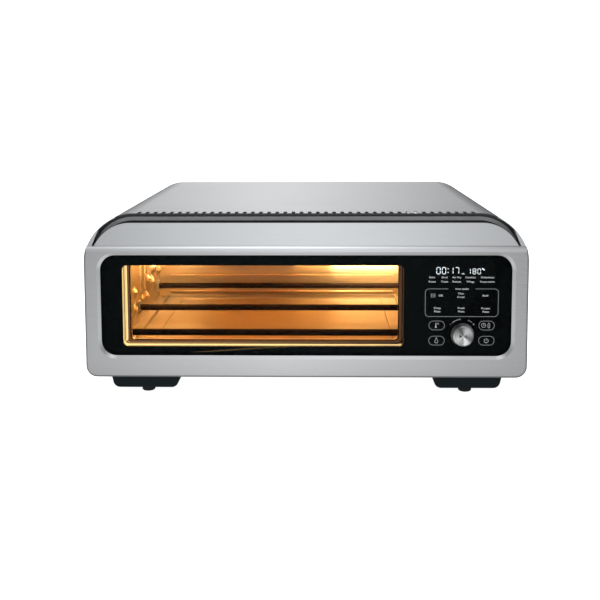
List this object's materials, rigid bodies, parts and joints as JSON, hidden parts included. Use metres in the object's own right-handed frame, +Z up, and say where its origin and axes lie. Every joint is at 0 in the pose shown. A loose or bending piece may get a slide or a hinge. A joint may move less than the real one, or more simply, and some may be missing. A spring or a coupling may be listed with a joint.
{
  "type": "countertop pizza oven",
  "caption": "Low, wide countertop pizza oven: arched steel shell, full-width drop-down door with black glass window, touch controls and a push-and-turn knob.",
  "frame": {"origin": "centre of the overall box, on the counter under the rubber pads", "axes": "+X to the user's right, +Y towards the back, +Z up; the door and the knob face -Y"},
  "size_m": [0.49, 0.439, 0.2085],
  "materials": {
    "brushed_steel": "brushed along the width, satin",
    "cavity_steel": "plain rolled, slightly heat-tinted",
    "sheet_steel": "galvanised sheet, matt",
    "bright_steel": "bright plated",
    "knob_metal": "spun face, satin skirt",
    "trim_plastic": "satin moulded",
    "pad_rubber": "matt",
    "seal_rubber": "matt silicone",
    "clear_glass": "polished",
    "quartz_glass": "frosted",
    "black_print": "fired enamel print",
    "display_black": "dark window with white segments",
    "heater_sheath": "oxidised sheath",
    "coil_wire": "glowing coil",
    "white_ceramic": "unglazed",
    "mineral_wool": "needled blanket",
    "motor_steel": "zinc plated laminations",
    "housing_plastic": "moulded",
    "circuit_board": "solder mask",
    "board_parts": "moulded",
    "pad_foam": "conductive foam",
    "cable_jacket": "silicone jacket"
  },
  "bodies": {
    "root": {"base_pan": "sheet_steel", "board_relays": "board_parts", "body_loom": "cable_jacket", "cavity_back_wall": "cavity_steel", "cavity_ceiling": "cavity_steel", "cavity_floor": "cavity_steel", "cavity_left_wall": "cavity_steel", "cavity_right_wall": "cavity_steel", "cord_grommet": "pad_rubber", "crumb_tray": "cavity_steel", "door_switch": "housing_plastic", "element_clips": "sheet_steel", "fan_grille": "cavity_steel", "fan_housing": "sheet_steel", "fan_motor": "motor_steel", "feet": "trim_plastic", "foot_pads": "pad_rubber", "front_bulkhead": "sheet_steel", "heating_coils": "coil_wire", "hinge_arms": "sheet_steel", "insulation_blankets": "mineral_wool", "lamp_lens": "clear_glass", "lamp_socket": "white_ceramic", "lower_elements": "heater_sheath", "outer_shell": "brushed_steel", "oven_lamp": "clear_glass", "panel_screws": "bright_steel", "power_board": "circuit_board", "quartz_tubes": "quartz_glass", "rear_panel": "sheet_steel", "recess_trim": "trim_plastic", "temperature_probe": "bright_steel", "terminal_block": "housing_plastic", "thermal_cutout": "bright_steel", "tube_end_caps": "white_ceramic", "upper_reflectors": "cavity_steel"},
    "door": {"door_frame": "brushed_steel", "handle_panel": "brushed_steel", "door_glass": "clear_glass", "glass_mask": "black_print", "window_channel": "sheet_steel", "inner_glass": "clear_glass", "door_inner_panel": "sheet_steel", "door_seal": "seal_rubber", "control_housing": "housing_plastic", "control_board": "circuit_board", "display_module": "display_black", "touch_pads": "pad_foam", "encoder_body": "housing_plastic", "hinge_clevises": "sheet_steel", "hinge_pins": "bright_steel", "door_loom": "cable_jacket"},
    "encoder_carriage": {"encoder_plunger": "housing_plastic"},
    "knob": {"knob": "knob_metal", "encoder_shaft": "bright_steel"},
    "fan_rotor": {"fan_blade": "sheet_steel", "motor_shaft": "bright_steel", "cooling_impeller": "housing_plastic"},
    "switch_plunger": {"switch_plunger": "housing_plastic"}
  },
  "joints": [
    {"name": "door_hinge", "type": "hinge", "parent": "root", "child": "door", "pos_m": [0, -0.1965, 0.036], "axis": [1, 0, 0], "range_deg": [0, 90], "stiffness_Nm_per_rad": 0.45, "springref_deg": -22.92},
    {"name": "encoder_push", "type": "slide", "parent": "door", "child": "encoder_carriage", "axis": [0, 1, 0], "range_m": [0, 0.001], "stiffness_N_per_m": 1500, "springref_m": -0.001},
    {"name": "knob_turn", "type": "hinge", "parent": "encoder_carriage", "child": "knob", "pos_m": [0.1729, -0.2105, 0.0775], "axis": [0, -1, 0], "continuous": true},
    {"name": "fan_spin", "type": "hinge", "parent": "root", "child": "fan_rotor", "pos_m": [0.18, -0.0895, 0.104], "axis": [1, 0, 0], "continuous": true},
    {"name": "switch_travel", "type": "slide", "parent": "root", "child": "switch_plunger", "axis": [0, -1, 0], "range_m": [0, 0.003]}
  ],
  "couplings": [
    {"joint": "switch_travel", "follows": "door_hinge", "m_per_rad": 0.0019}
  ]
}
